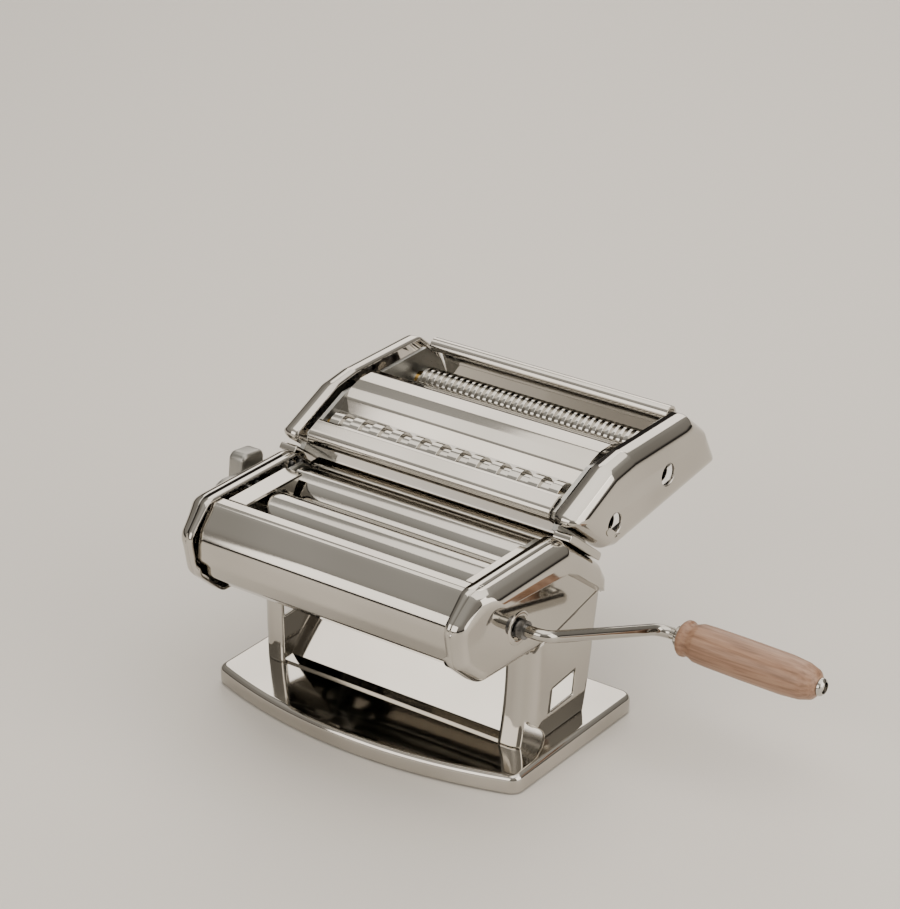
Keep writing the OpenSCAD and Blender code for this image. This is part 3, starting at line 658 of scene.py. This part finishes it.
def feed_plate(x0, x1, lip_x1):
    """Flat plate over the rollers' ends; with lip_x1 it has a lip that dips into the nip."""
    plate = round_path([[-56, 120.9], [-9, 120.9], [-9, 122.4], [-56, 122.4]], 0.4)
    lip = round_path(
        [[-34, 122.3], [-28, 120.4], [-23, 118.2], [-18.8, 113], [-17.2, 113], [-14.6, 117.4],
         [-11.6, 120.2], [-9.2, 121], [-9.2, 122.3]], [0, 3, 4, 0.6, 0.6, 4, 2, 0, 0])
    return along_x(plate, x0, x1) + (along_x(lip, x0, lip_x1) if lip_x1 else [])


piece("left_feed_plate", feed_plate(66, 78, 67.2), "machine", "chromed_sheet",
      ["feed_guide_left"], mirror=True, bevel=0.25)
piece("right_feed_plate", feed_plate(75.4, 80, None), "machine", "chromed_sheet",
      ["feed_guide_right"], bevel=0.25)

# ---- rollers -----------------------------------------------------------------------

FRONT, REAR = (-33, 105), (-0.7, 105)


def roller(axis_at, left, right):
    """Ground roller with a small chamfer at each end, and its two journals."""
    half, r, chamfer = 75, 15, 0.7
    journal, tip = 5, 4.6
    p = [[0, -left], [tip, -left], [journal, -left + 0.5], [journal, -half],
         [r - chamfer, -half], [r, chamfer - half], [r, half - chamfer], [r - chamfer, half],
         [journal, half], [journal, right - 0.5], [tip, right], [0, right]]
    return turned_solid(p, (0, *axis_at), steps=128)


piece("front_smooth_roller", roller(FRONT, 81.6, 87), "front_roller_shaft", "chromed_steel",
      ["front_roller"])
piece("rear_smooth_roller", roller(REAR, 84.1, 81.2), "rear_roller_shaft", "chromed_steel",
      ["rear_roller"])

# ---- crank -------------------------------------------------------------------------

HUB_X, ELBOW_X = 87.5, 108
HEEL = np.array([121, 54.2, 61])
GRIP = np.array([1, 0, -0.02]) / np.linalg.norm([1, 0, -0.02])
ROD_R = 3.25
GRIP_START, ROD_END = HEEL + GRIP * 11, HEEL + GRIP * 98


def bent_rod(corners, bends, radius, steps=24):
    """A round rod swept along a path whose corners are arcs; its frame never twists."""
    pts = [np.array(corners[0], float)]
    for before, place, after, r in zip(corners[:-2], corners[1:-1], corners[2:], bends):
        centre, p, q, _, half = corner_arc(*(np.array(v, float) for v in (before, place, after)), r)
        total = math.pi - 2 * half
        for t in np.linspace(0, 1, 15):
            to_p, to_q = np.sin((1 - t) * total), np.sin(t * total)
            pts.append(centre + (to_p * p + to_q * q) / math.sin(total))
    pts.append(np.array(corners[-1], float))
    path = np.array(pts)
    tangent = np.gradient(path, axis=0)
    tangent /= np.linalg.norm(tangent, axis=1)[:, None]
    side = np.cross(tangent[0], (0, 0, 1))
    side /= np.linalg.norm(side)
    t = np.linspace(0, 2 * math.pi, steps, endpoint=False)
    rings = []
    for p, d in zip(path, tangent):
        side = side - d * (side @ d)
        side /= np.linalg.norm(side)
        up = np.cross(d, side)
        rings.append(p + radius * (np.cos(t)[:, None] * side + np.sin(t)[:, None] * up))
    rings = np.array(rings)
    return [grid(rings, close_v=True), lid(rings[0]), lid(rings[-1])]


crank_line = [(HUB_X, *CRANK), (ELBOW_X, *CRANK), HEEL, ROD_END]
piece("crank_bar", bent_rod(crank_line, [8, 9], ROD_R), "crank", "chromed_steel", ["crank_rod"],
      sharp=60)
grip_profile = round_path(
    [[3.31, 3.1], [8.6, 3.1], [9.9, 4.6], [9.9, 6.4], [9.0, 8], [9.0, 9.5], [10.5, 13.5],
     [10.8, 20], [11, 42], [10.9, 66], [10, 76], [8, 82.4], [4.8, 84.9], [3.31, 84.9]],
    [0, 0.8, 1.2, 1.2, 0.7, 1.2, 3, 8, 40, 30, 10, 3, 0.8, 0], closed=False, step=1.5)
piece("wooden_grip", turned_solid(grip_profile, GRIP_START, GRIP), "grip", "beech",
      ["crank_grip"], sharp=60)
collar = soft_profile(
    [[3.2, 0], [5.4, 0], [6, 0.6], [6, 2.2], [5.6, 2.7], [3.2, 2.7]], [0, 0.3, 0.3, 0.3, 0.3, 0])
piece("grip_collar", turned_solid(collar, GRIP_START, GRIP), "crank", "chromed_steel",
      ["grip_ferrule"])
rivet = soft_profile([[3.2, 85.3], [5, 85.3], [4.6, 87], [3.2, 88]], [0, 0.2, 1.5, 0])
piece("grip_end_rivet", turned_solid(rivet, GRIP_START, GRIP), "crank", "chromed_steel",
      ["grip_rivet"])

# ---- cutter unit -------------------------------------------------------------------

COVER = [[5.26, 132.6], [44, 149.5], [62, 152], [120, 152], [137, 138], [149.4, 114.5],
         [49, 102.6], [40, 104.9]]
COVER_R = [4, 14, 14, 4, 8, 6, 5, 5]
CUTTER_HALF = 78.6  # half width of the sheets between the cutter unit's ends
WIDE, FINE = (44, 119.5), (94.5, 128.2)


def inset_rings(places, radii, depths, arc_steps=8, edge_steps=10):
    """Rings of a rounded outline at each inset depth, all with the same number of points.

    A corner arc shrinks to its centre, and past that its points run on down the bisector.
    """
    p = np.asarray(places, float)
    n = len(p)
    rings = []
    for depth in depths:
        arcs = []
        for i in range(n):
            centre, a, b, inward, half = corner_arc(p[i - 1], p[i], p[(i + 1) % n], radii[i])
            t = sweep(a, b, arc_steps)
            left, over = max(radii[i] - depth, 0), max(depth - radii[i], 0)
            middle = centre + inward * over / math.sin(half)
            arcs.append(middle + left * np.stack([np.cos(t), np.sin(t)], 1))
        ring = []
        for i in range(n):
            nxt = arcs[(i + 1) % n]
            t = np.linspace(0, 1, edge_steps + 1)[1:-1, None]
            ring += [arcs[i], arcs[i][-1] + (nxt[0] - arcs[i][-1]) * t]
        rings.append(np.vstack(ring))
    return rings


def cutter_cover(holes):
    """Pressed cover: a 4.5 mm flat rim, a quarter round of 9.5 mm, a flat face with its holes."""
    r, x0, x1 = 9.5, 84.0, 98.0
    t = np.linspace(0, math.pi / 2, 15)
    depths = np.concatenate([[0, 0], r * (1 - np.cos(t))[1:]])
    xs = np.concatenate([[x0, x1 - r], (x1 - r + r * np.sin(t))[1:]])
    rings = inset_rings(COVER, COVER_R, depths)
    pts = np.stack([at_x(ring, x) for ring, x in zip(rings, xs)])
    parts = [grid(pts, close_v=True)]
    loops = [pts[-1]]
    # Each hole's edge rolls inwards: radius and place of its rings
    lip = [(6.7, x1), (6.45, x1 - 0.1), (6.2, x1 - 0.35), (6.1, x1 - 0.8), (6.1, x1 - 1.6)]
    a = np.linspace(0, 2 * math.pi, 49)[:-1]
    for y, z in holes:
        ring = np.stack([
            at_x(np.column_stack([y + q * np.cos(a), z + q * np.sin(a)]), x) for q, x in lip])
        parts.append(grid(ring, close_v=True))
        loops.append(ring[0])
    parts.append(pierced_lid(loops) if holes else lid(loops[0]))
    return parts


piece("right_cutter_cover", cutter_cover([WIDE, FINE]), "cutter_unit", "chromed_sheet",
      ["cutter_cover_right"], wall=SHEET, sharp=50)
piece("left_cutter_cover", cutter_cover([]), "cutter_unit", "chromed_sheet",
      ["cutter_cover_left"], mirror=True, wall=SHEET, sharp=50)

front_sheet = round_path(
    [[38, 107.4], [12.6, 128.2]] + arc([16.4, 131.8], 5, 200, 130, 6)
    + [[20.2, 139.2], [22.6, 139]],
    [0, 3] + [0] * 7 + [1.2, 0], closed=False, step=2)
hump = round_path(
    [[40.4, 137.6], [44, 144.2], [50, 148], [58, 150.4], [68, 150.4], [77, 148], [81.5, 143.4],
     [82.6, 138.6]],
    [0, 4, 8, 14, 14, 8, 3, 0], closed=False, step=1.5)
rear_rail = round_path(
    [[127, 142]] + arc([126, 146], 5, 190, 20, 10) + [[136, 134.5], [140, 122]],
    [0, 1] + [0] * 9 + [2, 2, 0], closed=False, step=2)
for name, path, node in (
        ("cutter_front_bar", front_sheet, "cutter_front_sheet"),
        ("cutter_hump_guide", hump, "cutter_centre_guide"),
        ("cutter_rear_bar", rear_rail, "cutter_rear_rail")):
    piece(name, along_x(band(path, -SHEET), -CUTTER_HALF, CUTTER_HALF), "cutter_unit",
          "chromed_sheet", [node])

RIB_R, ROOT_R, TIP_GAP = 9.2, 7.6, 0.3
PITCH = RIB_R + ROOT_R + TIP_GAP
WIDE_2 = (WIDE[0] - 0.718 * PITCH, WIDE[1] + 0.696 * PITCH)
FINE_2 = (FINE[0] + 0.9956 * PITCH, FINE[1] + 0.094 * PITCH)


def grooved_roller(at, ribbon, first, right, socket):
    """A cutter roller: ribs of one ribbon's width at every second ribbon, with crisp corners.

    The ribs run from -first to first. A driven roller ends in a sleeve with the crank's socket.
    """
    half, left, journal = 74, 88.6, 4
    rib, edge = ribbon / 2 - 0.12, 0.12
    sleeve_x, sleeve_r, socket_r, socket_depth = 84, 5, 3.35, 8
    p = [[0, -left], [journal, -left], [journal, -half], [ROOT_R, -half]]
    for i in range(int(2 * first / ribbon / 2) + 1):
        x = 2 * ribbon * i - first
        p += [[ROOT_R, x - rib], [RIB_R - edge, x - rib], [RIB_R, x - rib + edge],
              [RIB_R, x + rib - edge], [RIB_R - edge, x + rib], [ROOT_R, x + rib]]
    p += [[ROOT_R, half], [journal, half]]
    if socket:
        floor_x = right - socket_depth
        p += [[journal, sleeve_x], [sleeve_r, sleeve_x], [sleeve_r, right], [socket_r, right],
              [socket_r, floor_x], [0, floor_x]]
    else:
        p += [[journal, right], [0, right]]
    return turned_solid(p, (0, *at), steps=72)


for name, at, ribbon, first, right, socket in (
        ("wide_driven", WIDE, 6.5, 65.0, 94, True),
        ("wide_follower", WIDE_2, 6.5, 71.5, 81, False),
        ("fine_driven", FINE, 2.0, 70.0, 94, True),
        ("fine_follower", FINE_2, 2.0, 72.0, 81, False)):
    cut, kind = name.split("_")
    piece(f"{name}_cutter", grooved_roller(at, ribbon, first, right, socket), name,
          "chromed_steel", [f"{cut}_cutter_{kind}"], sharp=25)

# ---- rails -------------------------------------------------------------------------


def rail():
    """Round-topped bar on the sloping rear of the head."""
    d, n = np.array([0.783, -0.622]), np.array([0.622, 0.783])
    foot = np.array([8, 122.4]) + 2.3 * n
    local = round_path([[-2, -2.3], [34, -2.3], [34, 2], [-2, 2]], [0.5, 0.5, 2.1, 2.1])
    return along_x(foot + local[:, :1] * d + local[:, 1:] * n, 84.3, 95)


def both_sides(parts):
    """The parts, and their mirror image across x = 0."""
    return parts + [
        (np.asarray(p) * [-1, 1, 1], [tuple(reversed(f)) for f in faces]) for p, faces in parts]


piece("slope_rails", both_sides(rail()), "machine", "chromed_sheet", ["mounting_rails"], bevel=1.2)

# ---- knob --------------------------------------------------------------------------


KNOB_TILT = math.radians(-7)
POCKET_R, POCKET_FLOOR = 6.0, 105.2


def on_knob(flat, out):
    """Points from (along the plate, across it) at one distance out from the middle plane."""
    c, s = math.cos(KNOB_TILT), math.sin(KNOB_TILT)
    y = KNOB[0] + flat[:, 0] * c - flat[:, 1] * s
    z = KNOB[1] + flat[:, 0] * s + flat[:, 1] * c
    return np.column_stack([np.full(len(flat), -out), y, z])


def cushion_block(outline, radii, low, high, round_r):
    """A flat block with rounded upper and lower edges and the spring's pocket through it."""
    t = np.linspace(0, math.pi / 2, 7)
    depths = np.concatenate([round_r * (1 - np.sin(t)), round_r * (1 - np.cos(t))])
    xs = np.concatenate([low + round_r * (1 - np.cos(t)), high - round_r + round_r * np.sin(t)])
    rings = inset_rings(outline, radii, depths, edge_steps=4)
    pts = np.stack([on_knob(ring, x) for ring, x in zip(rings, xs)])
    circle = np.array(arc((0, 0), POCKET_R, 0, 360, 48))[:-1]
    wall = np.stack([on_knob(circle, x) for x in (low, high)])
    ends = [pierced_lid([pts[i], wall[i]]) for i in (0, -1)]
    return [grid(pts, close_v=True), grid(wall, close_v=True)] + ends


def knob_collar():
    """Hub round the shaft, up to the pocket's floor."""
    bore, hub, inner, outer = 4.1, 7.5, 94, 101.2
    p = [[bore, inner], [hub - 0.3, inner], [hub, inner + 0.3], [hub, outer], [POCKET_R, outer],
         [POCKET_R, POCKET_FLOOR], [bore, POCKET_FLOOR], [bore, inner]]
    return turned_solid(p, (0, *KNOB), (-1, 0, 0))


def rectangle(half_length, half_width):
    """Corners of a rectangle about the knob's middle."""
    return [[-half_length, -half_width], [half_length, -half_width], [half_length, half_width],
            [-half_length, half_width]]


plate = cushion_block(rectangle(36.5, 13.3), [13.2] * 4, 101, 106.5, round_r=1.2)
piece("knob_plate", plate + knob_collar(), "knob", "satin_metal", ["regulator_knob"],
      material=satin_zinc)
grip = cushion_block(rectangle(9.2, 22), [4.6] * 4, 105.5, 116.5, round_r=2.4)
piece("knob_grip", grip, "knob", "satin_metal", material=satin_zinc)


def coil_spring(turns=4, coil_r=4.0, wire_r=0.45, x0=105.65, x1=112.75):
    """Round wire on a helix between the pocket's floor and the shaft's cap."""
    t = np.linspace(0, 2 * math.pi * turns, turns * 32 + 1)[:, None]
    b = np.linspace(0, 2 * math.pi, 13)[None, :-1]
    r = coil_r + wire_r * np.cos(b)
    x = x0 + (x1 - x0) * t / t[-1] + wire_r * np.sin(b)
    pts = np.stack([-x, KNOB[0] + r * np.cos(t), KNOB[1] + r * np.sin(t)], axis=2)
    return [grid(pts, close_v=True), lid(pts[0]), lid(pts[-1])]


# The cap holds the spring's outer end; the pulled knob presses it to half its length
spring = piece("knob_return_spring", coil_spring(), "regulator", "gear_steel", ["knob_spring"])
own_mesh(spring)

# ---- materials on the CAD nodes that stay ------------------------------------------

slots = {row["node"]: row["material_slot"] for row in frame["record"]["subparts"]}
for node, obj in frame["nodes"].items():
    obj.data.materials.clear()
    obj.data.materials.append(slot_material[slots[node]])

# ---- floor and light ---------------------------------------------------------------

floor_mat, _, floor_bsdf = new_material("pale studio floor", Roughness=0.55)
floor_bsdf.inputs["Base Color"].default_value = linear("#d8d4ce")
floor_mesh = bpy.data.meshes.new("floor")
floor_mesh.from_pydata([(-6, -6, 0), (6, -6, 0), (6, 6, 0), (-6, 6, 0)], [], [(0, 1, 2, 3)])
floor = bpy.data.objects.new("floor", floor_mesh)
bpy.context.scene.collection.objects.link(floor)
floor_mesh.materials.append(floor_mat)


def softbox(name, place, target, size, power, colour="#fff8ef"):
    """A rectangular area light that faces a target."""
    data = bpy.data.lights.new(name, "AREA")
    data.shape = "RECTANGLE"
    data.size, data.size_y = size
    data.energy = power
    data.color = linear(colour)[:3]
    light = bpy.data.objects.new(name, data)
    bpy.context.scene.collection.objects.link(light)
    light.location = place
    aim = np.array(target) - np.array(place)
    light.rotation_euler = Vector(aim).to_track_quat("-Z", "Y").to_euler()


softbox("overhead softbox", (0.1, 0.3, 1.8), (0, 0, 0.1), (2.6, 2.0), 28)
softbox("front softbox", (-0.3, -1.9, 0.9), (0, 0, 0.1), (2.2, 1.3), 24)
softbox("side softbox", (1.9, 0.2, 0.9), (0, 0, 0.08), (1.5, 1.8), 24)
softbox("rear softbox", (-0.9, 1.8, 1.2), (0, 0, 0.1), (1.8, 1.2), 16)

world = bpy.data.worlds.new("studio")
bpy.context.scene.world = world
world.use_nodes = True
sky = world.node_tree
direction = add(sky, "ShaderNodeTexCoord").outputs["Generated"]
height = add(sky, "ShaderNodeSeparateXYZ", links={"Vector": direction}).outputs["Z"]
lift = add(sky, "ShaderNodeMapRange", {"From Min": -1.0, "From Max": 1.0}, {"Value": height})
# 0.5 is the horizon and 1.0 straight up: dark low down, then walls, then a pale ceiling
glow = ramp(sky, lift.outputs["Result"], [
    (0.5, "#35322f"), (0.55, "#45413e"), (0.60, "#9c978f"), (0.78, "#aaa59d"), (0.88, "#d2cec6"),
    (1.0, "#e9e5de")])
back = sky.nodes["Background"]
sky.links.new(glow, back.inputs["Color"])
back.inputs["Strength"].default_value = 0.9
